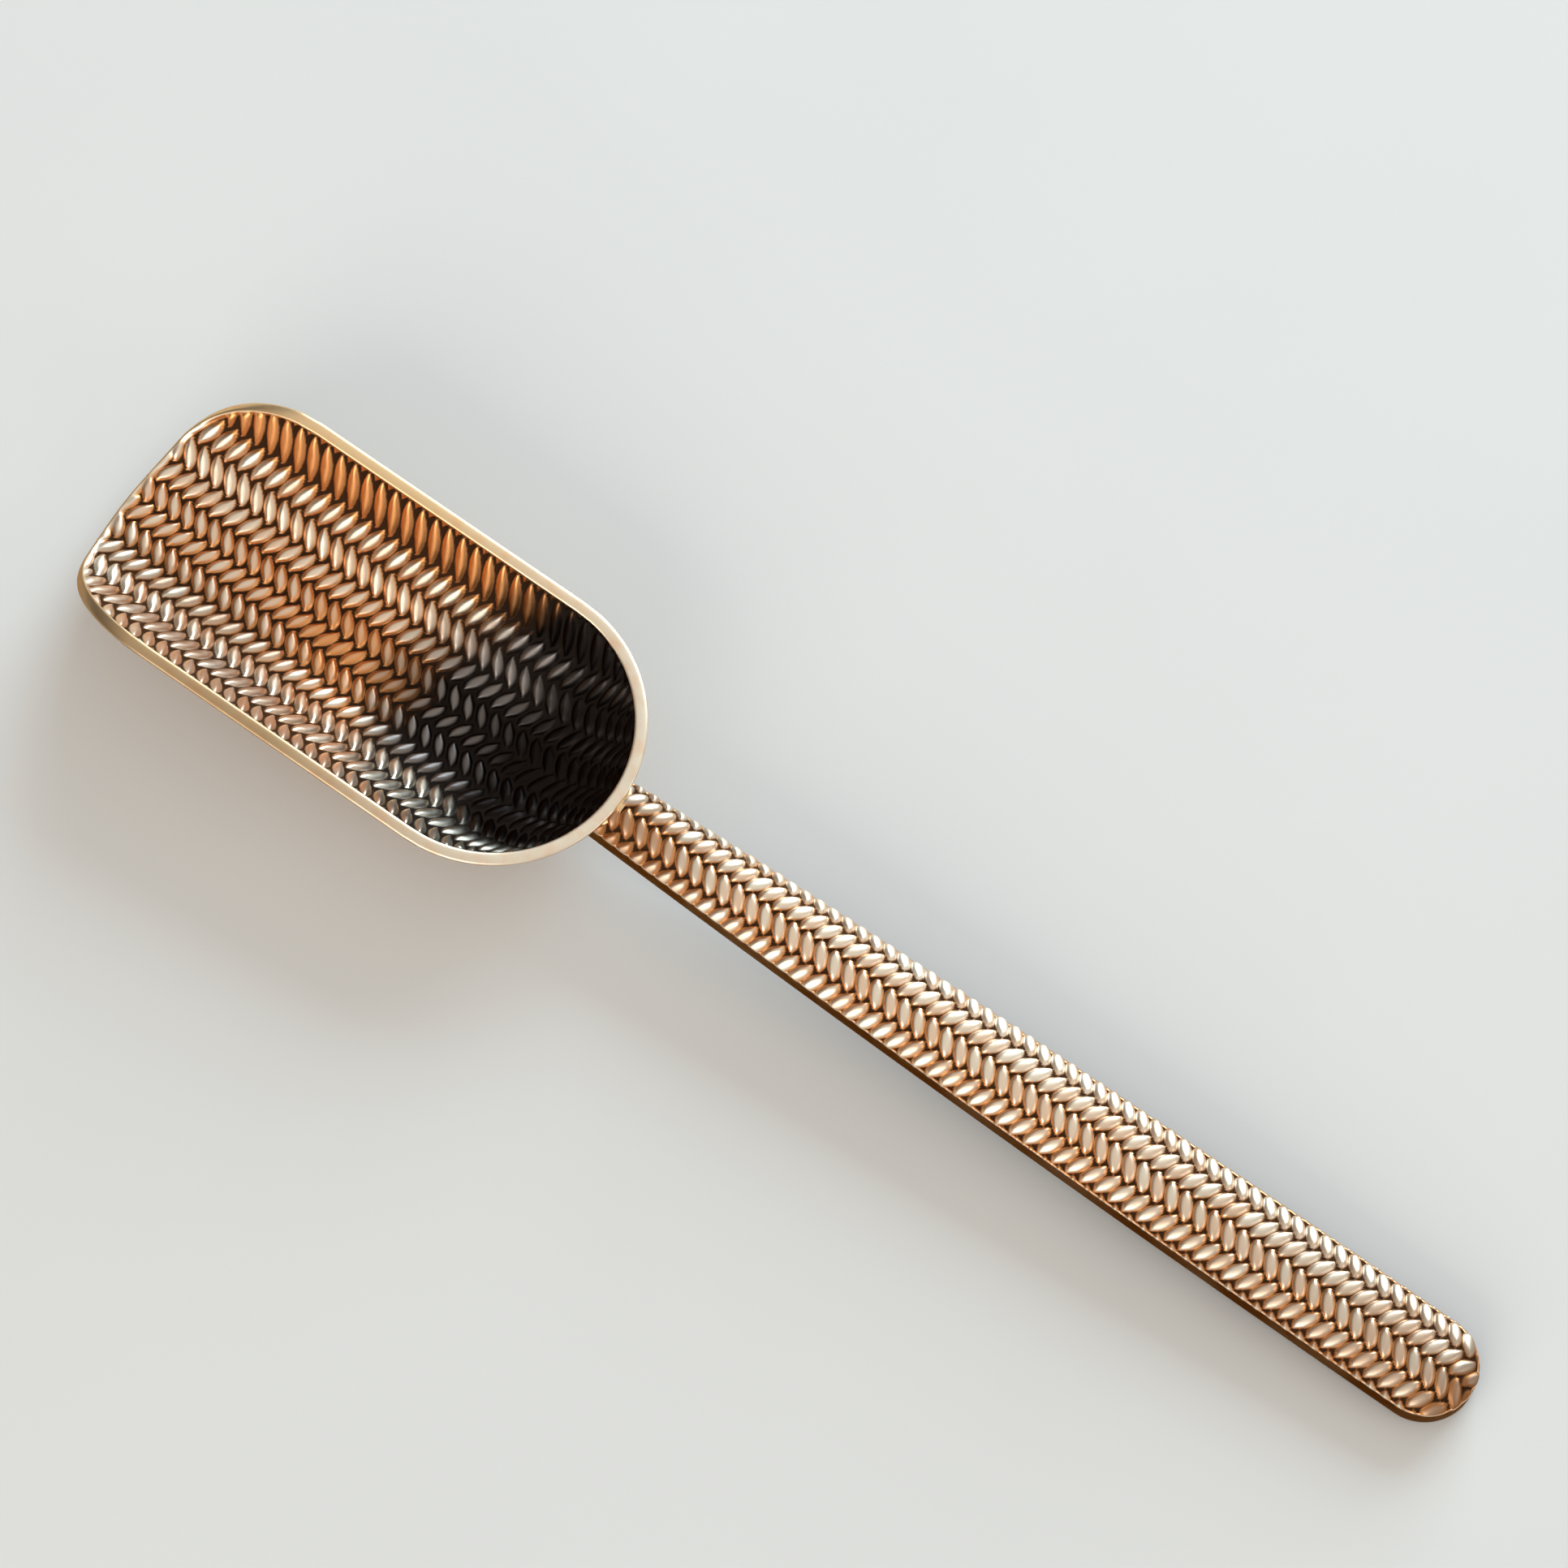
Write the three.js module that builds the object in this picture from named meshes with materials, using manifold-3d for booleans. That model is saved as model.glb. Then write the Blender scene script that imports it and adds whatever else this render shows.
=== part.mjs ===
// Scoop-shaped teaspoon: a pressed open-fronted bowl, a solid tapered handle with a crowned top,
// and the braze that joins them. All sizes are in millimetres.
//
// The spoon is drawn straight, with the rim of the bowl in the plane z = 0, the handle towards +X
// and the back of the rim at x = 0. It is then tilted as it lies on a table, where it stands on
// the underside of the bowl and the end of the handle.

import * as THREE from "three";
import { mergeVertices } from "three/addons/utils/BufferGeometryUtils.js";
import Module from "manifold-3d";

// Bowl, pressed from one sheet
const bowlWidth = 28.2; // outside, across the rim
const bowlLength = 56.5; // from the back of the rim to the middle of the lip
const bowlDepth = 9.2; // inside, from the rim down to the floor
const sheetThickness = 1.1;
const sectionPower = 2.6; // 2 would be a parabola; more gives a flatter floor and steeper walls
const lipBow = 3.0; // how far the lip curves back from its middle to the rim
const lipCornerRadius = 9.5; // rounding of the top front corners of the walls

// Handle, one solid bar
const handleLength = 93.5; // from the back of the rim to the tip
const handleRootWidth = 6.0;
const handleTipWidth = 9.6; // at the centre of the round tip
const handleSideHeight = 3.0; // height of the plain side faces
const handleCrown = 1.7; // rise of the top from its edges to its middle
const handleCrownPower = 2.5; // 2 would be a parabola; more gives a flatter top, rounder shoulders
const handleDrop = 0.3; // the crown lies this far below the rim
const handleEdgeRadius = 0.8; // rounding of the lower edges

// Braze round the root of the handle
const brazeReach = 0.9; // from the wall of the bowl along the handle
const brazeLeg = 0.45; // thickness against the wall of the bowl
const brazeEndThickness = 0.2; // thickness where the fillet runs out
const jointClearance = 0.15; // left open between two pieces that touch

// Flats worn where the spoon stands
const standFlatDepth = 0.15;

// Fineness of the faceted surfaces
const ringSteps = 12; // from the middle of a piece to its edge
const straightSteps = 10; // along its straight part
const roundSteps = 24; // round its half-circle end
const edgeSteps = 3; // round a rounded edge
const arcSamples = 60; // for lengths measured along a curve

const copper = new THREE.Color(0.8, 0.5, 0.32);
const copperRoughness = 0.3;
const brazeRoughness = 0.42;

const outerHalfWidth = bowlWidth / 2;
const outerDepth = bowlDepth + sheetThickness;
const wallSlopeAtRim = (sectionPower * outerDepth) / outerHalfWidth;
const rimLand = sheetThickness / Math.sin(Math.atan(wallSlopeAtRim));
const innerHalfWidth = outerHalfWidth - rimLand;
const bowlCentre = -outerHalfWidth; // centre of the half-circle at the back of the bowl
const handleTipRadius = handleTipWidth / 2;
const handleTipCentre = handleLength - handleTipRadius;
const handleTop = -handleDrop;
const handleTopEdge = handleTop - handleCrown;
const handleBottom = handleTopEdge - handleSideHeight;

const wasm = await Module();
wasm.setup();

// Shares of the half width, closer together near the edge, where the bowl is steepest.
const ringShares = [];
for (let i = 0; i <= ringSteps; i++) {
  ringShares.push(Math.sin((Math.PI * i) / (2 * ringSteps)));
}
const acrossShares = [...ringShares.slice(1).reverse().map((share) => -share), ...ringShares];

// The bowl's section: the height at a share of its half width, below a rim at z = 0.
function sectionHeight(share, depth) {
  return -depth * (1 - Math.abs(share) ** sectionPower);
}

// Length of the section from a share of the half width up to the rim, measured inside the bowl.
function lengthToRim(share) {
  let length = 0;
  const start = Math.abs(share);
  const step = (1 - start) / arcSamples;
  for (let i = 0; i < arcSamples; i++) {
    const low = start + i * step;
    const rise = sectionHeight(low + step, bowlDepth) - sectionHeight(low, bowlDepth);
    length += Math.hypot(step * innerHalfWidth, rise);
  }
  return length;
}

// The front edge of the bowl: a shallow bow with rounded top corners.
function lipPosition(share) {
  const below = Math.max(lipCornerRadius - lengthToRim(share), 0);
  const corner = lipCornerRadius - Math.sqrt(lipCornerRadius ** 2 - below ** 2);
  return -bowlLength + lipBow * share ** 2 + corner;
}

// Where the outside of the back wall stands at a height below the rim.
function backWallPosition(height) {
  return bowlCentre + outerHalfWidth * (1 + height / outerDepth) ** (1 / sectionPower);
}

// Half the handle's width: it widens quickly at the root and hardly at all at the round tip.
function handleHalfWidth(x) {
  const remaining = 1 - x / handleTipCentre;
  return THREE.MathUtils.lerp(handleTipWidth, handleRootWidth, remaining ** 2) / 2;
}

// A tongue-shaped surface: straight from its open end to the centre of its half-circle end.
function tongue({ openEnd, centre, halfWidth, height }) {
  const straight = [];
  for (let i = 0; i <= straightSteps; i++) {
    straight.push(
      acrossShares.map((share) => {
        const x = THREE.MathUtils.lerp(openEnd(share), centre, i / straightSteps);
        return new THREE.Vector3(x, share * halfWidth(x), height(Math.abs(share)));
      }),
    );
  }
  const radius = halfWidth(centre);
  const round = [];
  for (let k = 0; k <= roundSteps; k++) {
    const turn = Math.PI * (k / roundSteps - 0.5);
    round.push(
      ringShares.map((share) => {
        const reach = share * radius;
        return new THREE.Vector3(centre + reach * Math.cos(turn), reach * Math.sin(turn), height(share));
      }),
    );
  }
  return { straight, round };
}

// The edge of a tongue: across its open end, along one side, round the end and back.
function edgeLoop({ straight, round }) {
  const last = acrossShares.length - 1;
  return [
    ...straight[0],
    ...straight.slice(1).map((row) => row[last]),
    ...round
      .slice(1, -1)
      .reverse()
      .map((row) => row[ringSteps]),
    ...straight
      .slice(1)
      .reverse()
      .map((row) => row[0]),
  ];
}

function quad(faces, a, b, c, d) {
  faces.push([a, b, c], [a, c, d]);
}

// Faces of a tongue that look up, or down when turned over.
function surfaceFaces({ straight, round }, turnedOver) {
  const faces = [];
  for (let i = 0; i < straightSteps; i++) {
    for (let j = 0; j + 1 < acrossShares.length; j++) {
      quad(faces, straight[i][j], straight[i + 1][j], straight[i + 1][j + 1], straight[i][j + 1]);
    }
  }
  for (let k = 0; k < roundSteps; k++) {
    for (let j = 0; j < ringSteps; j++) {
      quad(faces, round[k][j], round[k][j + 1], round[k + 1][j + 1], round[k + 1][j]);
    }
  }
  return turnedOver ? faces.map(([a, b, c]) => [a, c, b]) : faces;
}

// The wall between two loops with as many points, the first one above or inside the second.
function wallFaces(upper, lower) {
  const faces = [];
  upper.forEach((point, i) => {
    const next = (i + 1) % upper.length;
    quad(faces, point, upper[next], lower[next], lower[i]);
  });
  return faces;
}

// The inside of a convex outline, as a fan from its first point.
function fanFaces(outline) {
  return outline.slice(1, -1).map((point, i) => [outline[0], point, outline[i + 2]]);
}

// A closed solid from loose faces, with their shared corners merged.
function solidFromFaces(faces) {
  const corners = faces.flat().flatMap((point) => point.toArray());
  const loose = new THREE.BufferGeometry();
  loose.setAttribute("position", new THREE.Float32BufferAttribute(corners, 3));
  const merged = mergeVertices(loose);
  const index = [];
  for (let i = 0; i < merged.index.count; i += 3) {
    const [a, b, c] = [0, 1, 2].map((k) => merged.index.getX(i + k));
    if (a !== b && b !== c && c !== a) {
      index.push(a, b, c);
    }
  }
  return new wasm.Manifold(
    new wasm.Mesh({
      numProp: 3,
      vertProperties: merged.attributes.position.array,
      triVerts: new Uint32Array(index),
    }),
  );
}

// A solid stacked from tongues: the first is its top, the last its underside, and the others shape
// the wall between them.
function stackedSolid(tongues) {
  const loops = tongues.map(edgeLoop);
  const faces = [...surfaceFaces(tongues[0], false), ...surfaceFaces(tongues.at(-1), true)];
  for (let i = 0; i + 1 < loops.length; i++) {
    faces.push(...wallFaces(loops[i], loops[i + 1]));
  }
  return solidFromFaces(faces);
}

function geometryOf(solid) {
  const mesh = solid.getMesh();
  const geometry = new THREE.BufferGeometry();
  geometry.setAttribute("position", new THREE.BufferAttribute(mesh.vertProperties, 3));
  geometry.setIndex(new THREE.BufferAttribute(mesh.triVerts, 1));
  geometry.computeVertexNormals();
  return geometry;
}

function bowlSurface(halfWidth, depth) {
  return tongue({
    openEnd: lipPosition,
    centre: bowlCentre,
    halfWidth: () => halfWidth,
    height: (share) => sectionHeight(share, depth),
  });
}

function bowlSolid() {
  return stackedSolid([bowlSurface(innerHalfWidth, bowlDepth), bowlSurface(outerHalfWidth, outerDepth)]);
}

// The space inside the outer surface of the bowl, grown by a clearance. The pieces outside the bowl
// keep out of it.
function bowlEnvelope(clearance) {
  const lid = tongue({
    openEnd: lipPosition,
    centre: bowlCentre,
    halfWidth: () => outerHalfWidth + clearance,
    height: () => clearance,
  });
  return stackedSolid([lid, bowlSurface(outerHalfWidth + clearance, outerDepth + clearance)]);
}

// The bar before its root is cut to the bowl, grown on all sides by a margin.
function handleBar(margin) {
  const level = (inset, height) =>
    tongue({
      openEnd: () => bowlCentre,
      centre: handleTipCentre,
      halfWidth: (x) => handleHalfWidth(x) + margin - inset,
      height,
    });
  const top = level(0, (share) => handleTop + margin - handleCrown * share ** handleCrownPower);
  const lowerEdge = [];
  for (let i = 0; i <= edgeSteps; i++) {
    const turn = (Math.PI * i) / (2 * edgeSteps);
    const inset = handleEdgeRadius * (1 - Math.cos(turn));
    const rise = handleEdgeRadius * (1 - Math.sin(turn));
    lowerEdge.push(level(inset, () => handleBottom - margin + rise));
  }
  return stackedSolid([top, ...lowerEdge]);
}

// A block round the root of the handle, before the handle and the bowl are cut out of it. It is as high
// as the handle's side faces, so the cut leaves a saddle under the handle, and it leans with the wall.
function brazeBlock() {
  const stations = [
    { reach: 0, thickness: brazeLeg },
    { reach: brazeReach, thickness: brazeEndThickness },
  ];
  const sections = stations.map(({ reach, thickness }) => {
    const half = handleHalfWidth(reach) + jointClearance + thickness;
    const bottom = handleBottom - jointClearance - thickness;
    const corner = handleEdgeRadius + thickness;
    const side = [new THREE.Vector2(half, handleTopEdge)];
    for (let i = 0; i <= edgeSteps; i++) {
      const turn = (Math.PI * i) / (2 * edgeSteps);
      const inset = corner * (1 - Math.cos(turn));
      const rise = corner * (1 - Math.sin(turn));
      side.push(new THREE.Vector2(half - inset, bottom + rise));
    }
    const outline = [...side.map(({ x, y }) => new THREE.Vector2(-x, y)), ...side.reverse()];
    return outline.map(({ x, y }) => new THREE.Vector3(backWallPosition(y) + reach, x, y));
  });
  const buried = sections[0].map(({ y, z }) => new THREE.Vector3(bowlCentre, y, z));
  sections.unshift(buried);
  const faces = [];
  for (let i = 0; i + 1 < sections.length; i++) {
    faces.push(...wallFaces(sections[i], sections[i + 1]));
  }
  faces.push(...fanFaces(sections[0]).map(([a, b, c]) => [a, c, b]));
  faces.push(...fanFaces(sections.at(-1)));
  return solidFromFaces(faces);
}

// The steepest line that the underside of the bowl and the end of the handle can both stand on.
const standPoint = new THREE.Vector2(handleLength - handleEdgeRadius, handleBottom);
let standSlope = -Infinity;
for (let i = 0; i <= arcSamples; i++) {
  const share = i / arcSamples;
  const x = bowlCentre + share * outerHalfWidth;
  const slope = (standPoint.y - sectionHeight(share, outerDepth)) / (standPoint.x - x);
  standSlope = Math.max(standSlope, slope);
}
const standTilt = Math.atan(standSlope);

// The table under the tilted spoon, raised by the depth of the worn flats. The block is wide enough
// to reach under the whole spoon.
function tableBlock() {
  const size = 3 * (bowlLength + handleLength);
  const block = new THREE.BoxGeometry(size, size, size);
  block.deleteAttribute("normal");
  block.deleteAttribute("uv");
  block.translate(0, 0, standFlatDepth - size / 2);
  block.rotateY(-standTilt);
  block.translate(standPoint.x, 0, standPoint.y);
  const merged = mergeVertices(block);
  return new wasm.Manifold(
    new wasm.Mesh({
      numProp: 3,
      vertProperties: merged.attributes.position.array,
      triVerts: new Uint32Array(merged.index.array),
    }),
  );
}

const table = tableBlock();
const bowl = bowlSolid().subtract(table);
const handle = handleBar(0).subtract(bowlEnvelope(jointClearance)).subtract(table);
const braze = brazeBlock().subtract(handleBar(jointClearance)).subtract(bowlEnvelope(jointClearance));

function namedMesh(name, solid, roughness) {
  const material = new THREE.MeshStandardMaterial({ color: copper, roughness, metalness: 1 });
  const mesh = new THREE.Mesh(geometryOf(solid), material);
  mesh.name = name;
  return mesh;
}

const spoon = new THREE.Group();
spoon.add(namedMesh("scoop_bowl", bowl, copperRoughness));
spoon.add(namedMesh("handle", handle, copperRoughness));
spoon.add(namedMesh("braze_fillet", braze, brazeRoughness));
spoon.rotation.y = standTilt;

// The origin is the middle of the underside of the box round the standing spoon.
spoon.updateMatrixWorld(true);
const bounds = new THREE.Box3().setFromObject(spoon, true);
const middle = bounds.getCenter(new THREE.Vector3());
spoon.position.set(-middle.x, -middle.y, -bounds.min.z);

const teaspoon = new THREE.Group();
teaspoon.add(spoon);

export default teaspoon;
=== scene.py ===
"""Scoop-shaped teaspoon: its visible pieces and its stage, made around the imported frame."""

import math

import bpy
import numpy as np
from bpy.props import FloatProperty, FloatVectorProperty, IntProperty, PointerProperty
from mathutils import Matrix, Vector


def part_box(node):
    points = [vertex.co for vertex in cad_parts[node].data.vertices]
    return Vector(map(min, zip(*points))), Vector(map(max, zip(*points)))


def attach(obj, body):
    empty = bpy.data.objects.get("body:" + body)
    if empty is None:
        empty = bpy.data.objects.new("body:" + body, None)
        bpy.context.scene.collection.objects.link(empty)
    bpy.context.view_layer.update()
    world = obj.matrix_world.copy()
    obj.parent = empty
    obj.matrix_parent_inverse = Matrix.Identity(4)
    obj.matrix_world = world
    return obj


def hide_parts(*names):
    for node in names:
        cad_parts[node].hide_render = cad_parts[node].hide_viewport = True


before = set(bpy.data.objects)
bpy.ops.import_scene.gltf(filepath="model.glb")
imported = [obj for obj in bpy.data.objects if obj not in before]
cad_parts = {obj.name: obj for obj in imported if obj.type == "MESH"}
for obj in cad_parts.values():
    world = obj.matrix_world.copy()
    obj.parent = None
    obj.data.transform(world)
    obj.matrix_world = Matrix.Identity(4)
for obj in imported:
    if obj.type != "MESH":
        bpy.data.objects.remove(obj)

bl_info = {
    "name": "Scoop-shaped teaspoon",
    "version": (1, 0, 0),
    "blender": (4, 5, 0),
    "location": "3D View > Sidebar > Teaspoon",
    "description": "Makes the bowl, the handle and the braze of a scoop-shaped teaspoon, and its stage",
    "category": "Object",
}

MM = 0.001
TINY = 1e-9
BOWL_LOW, BOWL_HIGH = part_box("scoop_bowl")
HANDLE_LOW, HANDLE_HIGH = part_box("handle")

# Fineness of the meshes
LINES_PER_ROW = 10
LINES_UP_WALL = 24
LINES_OVER_CROWN = 67
STEPS_PER_GRAIN = 8
RIM_STEPS = 10
EDGE_STEPS = 5
SIDE_STEPS = 3
BEAD_STEPS = 7

# Fineness of the tables in which lengths and places are looked up
STAND_SAMPLES = 61
BACK_SAMPLES = 301
CROWN_SAMPLES = 401
SECTION_SAMPLES = 2001

# Shape of a grain: how its width and height fall off, its widest half in pitches, and its blending
WIDTH_POWER = 1.75
HEIGHT_POWER = 2.2
WIDEST = 0.57
BLEND = 0.2

# Lengths over which the relief rises from the lip, from the rim and from the root of the handle
LIP_FADE = 0.5 * MM
RIM_FADE = 0.12 * MM
ROOT_FADE = 0.3 * MM

# Painted light and shade by row, carried by wear and film: paler rows stand for painted highlights, deeper
# copper and brown rows for painted shade; rows counted from the middle towards +Y, then the value at each
BOWL_PAINTED_LIGHT = ((-3.0, -1.2, 1.2, 2.5, 4.1, 4.8), (0.42, -0.06, -0.08, 0.22, 0.22, -0.5))
BOWL_PAINTED_SHADE = ((-5.0, -4.0, -3.0, -2.0, -1.0, 0.0), (0.1, 0.46, 0.0, 0.44, 0.19, 0.0))
HANDLE_PAINTED_LIGHT = ((-2.0, -0.8, 0.0, 1.0), (0.06, 0.1, 0.32, 0.4))

# Where changes over the bowl begin and end, in rows, in lengths of the dark back's fade, or in metres
OUTER_ROWS = (4.3, 4.7)
# The band before the dark back is the edge of its patina and painted shadow
FRINGE_ROWS = (0.75, 2.75)
FRINGE_RISE = (-1.8, -0.4)
FRINGE_FALL = (1.1, 0.4)
# Where the rim's painted highlight and painted shade change
RIM_PALER = (-30.0 * MM, -5.0 * MM)
RIM_NEAR = (0.0, -10.0 * MM)

# Where the painted shade on the handle begins and ends, in metres or in rows
ROOT_REACH = (14.0 * MM, 0.0)
TIP_REACH = (48.0 * MM, 88.0 * MM)
NEAR_ROWS = (0.2, -0.8)


# Settings


def number_property(name, description, default, **limits):
    return FloatProperty(name=name, description=description, default=default, **limits)


def length_property(name, description, millimetres):
    return number_property(
        name, description, millimetres * MM, min=0.0, unit="LENGTH", subtype="DISTANCE", precision=5
    )


def share_property(name, description, default, high=1.0):
    return number_property(name, description, default, min=0.0, max=high, subtype="FACTOR")


def power_property(name, description, watts):
    return number_property(name, description, watts, min=0.0, unit="POWER")


def angle_property(name, description, degrees):
    return number_property(
        name, description, math.radians(degrees), unit="ROTATION", subtype="ANGLE"
    )


def colour_property(name, description, default):
    return FloatVectorProperty(
        name=name, description=description, default=default, size=3, min=0.0, max=1.0, subtype="COLOR"
    )


class BowlSizes(bpy.types.PropertyGroup):
    """Sizes of the bowl, with its rim level and the back of the rim at zero"""

    width: length_property("Width", "Outside width across the rim", (BOWL_HIGH.y - BOWL_LOW.y) / MM)
    length: length_property("Length", "From the back of the rim to the middle of the lip", 56.5)
    depth: length_property("Depth", "Inside depth, from the rim to the floor", 9.2)
    sheet: length_property("Sheet", "Thickness of the sheet", 1.1)
    land: length_property("Rim width", "Width of the rim seen from above", 1.24)
    power: number_property(
        "Section power", "2 makes the section a parabola, more gives a flatter floor", 2.6, min=1.5, max=6.0
    )
    lip_bow: length_property("Lip bow", "How far the lip curves back to the rim", 3.0)
    lip_corner: length_property("Lip corner", "Rounding of the top front corners", 9.5)
    edge_round: length_property("Edge rounding", "Rounding of the polished edge", 0.3)
    # The dark back is patina and a painted shadow of the back wall; its start and fade follow that shadow
    dark_back_start: length_property("Stain start", "Where the dark back begins, in front of the rim", 30.0)
    dark_back_fade: length_property("Stain fade", "Length over which the back darkens", 9.5)


class HandleSizes(bpy.types.PropertyGroup):
    """Sizes of the handle"""

    length: length_property("Length", "From the back of the rim to the tip", 93.5)
    root_width: length_property("Root width", "Width at the bowl", 6.0)
    tip_width: length_property(
        "Tip width", "Width at the centre of the round tip", (HANDLE_HIGH.y - HANDLE_LOW.y) / MM
    )
    crown: length_property("Crown", "Rise of the top from its edges to its middle", 1.7)
    crown_power: number_property(
        "Crown power", "2 makes the crown a parabola, more gives a flatter top", 2.5, min=1.5, max=6.0
    )
    side: length_property("Side height", "Height of the plain side faces", 3.0)
    drop: length_property("Drop", "The crown lies this far below the rim", 0.3)
    upper_round: length_property("Upper rounding", "Rounding between the top and the sides", 0.35)
    lower_round: length_property("Lower rounding", "Rounding of the lower edges", 0.8)
    worn: length_property("Worn flats", "Depth of the flats worn where the spoon stands", 0.15)


class ReliefSizes(bpy.types.PropertyGroup):
    """Sizes of the herringbone relief"""

    pitch: length_property("Pitch", "From one grain of a row to the next", 1.54)
    bowl_row: length_property("Bowl row", "Width of a row of grains in the bowl", 2.29)
    handle_row: length_property("Handle row", "Width of a row of grains on the handle", 2.42)
    bowl_offset: length_property("Bowl offset", "How far the bowl's rows lie towards -Y", 0.25)
    handle_offset: length_property("Handle offset", "How far the handle's rows lie towards +Y", 0.2)
    height: length_property("Height", "From the gaps to the top of a grain", 0.48)
    slant: share_property("Slant", "How far a grain leans across its row, in pitches", 0.76, 2.0)
    overlap: share_property("Overlap", "How far a grain's ends reach into the next rows", 0.11)
    bowl_fullness: share_property(
        "Bowl fullness", "Half the width of a bowl grain at its middle, in pitches", 0.59
    )
    handle_fullness: share_property(
        "Handle fullness", "Half the width of a handle grain at its middle, in pitches", 0.66
    )
    variation: share_property("Variation", "How much the grains differ in height", 0.16)
    reverse: share_property("Reverse", "Height of the relief on the back of the sheet", 0.35)
    seed: IntProperty(name="Seed", description="Seed of the differences between grains", default=7)


class FinishColours(bpy.types.PropertyGroup):
    """Colours and roughness of the metal"""

    copper: colour_property("Copper", "Polished metal on the grains", (0.89, 0.4, 0.15))
    # Pale copper: worn grain tops, also painted highlight
    pale: colour_property("Pale copper", "Worn tops of the grains", (0.98, 0.88, 0.72))
    rim: colour_property("Rim", "Polished edge of the bowl", (0.96, 0.68, 0.37))
    patina: colour_property("Patina", "Dark film in the gaps", (0.05, 0.021, 0.009))
    # Colour of the dark back: patina and painted shadow
    patina_and_shade: colour_property("Stain", "Dark metal deep in the bowl", (0.014, 0.011, 0.01))
    # Grain tops in the dark back: wear and painted glints
    rubbed_and_glint: colour_property("Rubbed stain", "Worn tops of the dark grains", (0.27, 0.24, 0.225))
    # Brown film, which also stands in for painted shade on the sides, the underside and the darker rows
    film: colour_property("Film", "Brown film on the sides and the underside", (0.09, 0.03, 0.011))
    braze: colour_property("Braze", "Brazing metal", (0.82, 0.6, 0.36))
    grazing: colour_property("Grazing tint", "Tint of the metal seen edge on", (0.8, 0.52, 0.32))
    roughness: share_property("Roughness", "Roughness of the polished metal", 0.36)


class StageSettings(bpy.types.PropertyGroup):
    """Floor, lamps and camera"""

    floor: colour_property("Floor", "Colour of the floor", (0.74, 0.735, 0.72))
    window_power: power_property("Window", "Power of the window lamp", 12.0)
    side_power: power_property("Side lamp", "Power of the low side lamp", 1.0)
    fill_power: power_property("Fill", "Power of the soft fill lamp", 5.6)
    bright: share_property("Bright side", "Brightness of the surroundings beyond the handle", 0.5)
    dim: share_property("Dim side", "Brightness of the surroundings beyond the bowl", 0.1)
    zenith: share_property("Zenith", "Brightness of the surroundings overhead", 0.7)
    elevation: angle_property("Elevation", "Height of the camera's view above the horizon", 69.57)
    azimuth: angle_property("Azimuth", "Direction of the camera round the spoon", 35.16)
    distance: length_property("Distance", "From the camera to the middle of the picture", 669.7)
    lens: number_property("Lens", "Focal length in millimetres on a 36 mm sensor", 166.3, min=1.0)


class TeaspoonSettings(bpy.types.PropertyGroup):
    """Everything that the operators read"""

    bowl: PointerProperty(type=BowlSizes)
    handle: PointerProperty(type=HandleSizes)
    relief: PointerProperty(type=ReliefSizes)
    finish: PointerProperty(type=FinishColours)
    stage: PointerProperty(type=StageSettings)


def settings():
    return bpy.context.scene.teaspoon


def new_object(name, data):
    made = bpy.data.objects.new(name, data)
    bpy.context.scene.collection.objects.link(made)
    return made


# Node trees


def operator_pair(operation):
    """An operator of Value and its reflected form, both as a Math node."""

    def plain(self, other):
        return self.math(operation, other)

    def reflected(self, other):
        return self.graph.value("ShaderNodeMath", 0, {"operation": operation}, {0: other, 1: self})

    return plain, reflected


class Value:
    """A number in a node tree. Sums and products of values add the Math nodes that they need."""

    __add__, __radd__ = operator_pair("ADD")
    __sub__, __rsub__ = operator_pair("SUBTRACT")
    __mul__, __rmul__ = operator_pair("MULTIPLY")
    __truediv__, __rtruediv__ = operator_pair("DIVIDE")
    __pow__, __rpow__ = operator_pair("POWER")

    def __init__(self, graph, socket):
        self.graph = graph
        self.socket = socket

    def math(self, operation, *others):
        inputs = dict(enumerate((self, *others)))
        return self.graph.value("ShaderNodeMath", 0, {"operation": operation}, inputs)

    def __abs__(self):
        return self.math("ABSOLUTE")

    def floor(self):
        return self.math("FLOOR")

    def least(self, other):
        return self.math("MINIMUM", other)

    def most(self, other):
        return self.math("MAXIMUM", other)

    def step(self, low, high):
        """0 below low, 1 above high, and smooth between them."""
        return self.graph.value(
            "ShaderNodeMapRange",
            0,
            {"interpolation_type": "SMOOTHSTEP"},
            {"Value": self, "From Min": low, "From Max": high},
        )


def named_socket(sockets, key):
    """A socket by its place or name. Of several with one name, the one in use."""
    if isinstance(key, int):
        return sockets[key]
    return next(socket for socket in sockets if socket.name == key and socket.enabled)


class Graph:
    """Adds nodes to a tree and links them."""

    def __init__(self, tree):
        self.tree = tree

    def node(self, kind, node_settings=None, inputs=None):
        """A node of a type. Its settings are set first, then the values or links of its sockets."""
        made = self.tree.nodes.new(kind)
        for name, value in (node_settings or {}).items():
            setattr(made, name, value)
        for key, value in (inputs or {}).items():
            self.feed(named_socket(made.inputs, key), value)
        return made

    def feed(self, socket, value):
        if isinstance(value, Value):
            value = value.socket
        if isinstance(value, bpy.types.NodeSocket):
            self.tree.links.new(value, socket)
        else:
            socket.default_value = value

    def value(self, kind, output, node_settings=None, inputs=None):
        made = self.node(kind, node_settings, inputs)
        return Value(self, named_socket(made.outputs, output))

    def mix(self, factor, first, second):
        """A colour between two colours."""
        inputs = {"Factor": factor}
        for name, colour in (("A", first), ("B", second)):
            inputs[name] = colour if isinstance(colour, bpy.types.NodeSocket) else (*colour, 1.0)
        made = self.node("ShaderNodeMix", {"data_type": "RGBA"}, inputs)
        return named_socket(made.outputs, "Result")


# Where the spoon lies


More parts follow.
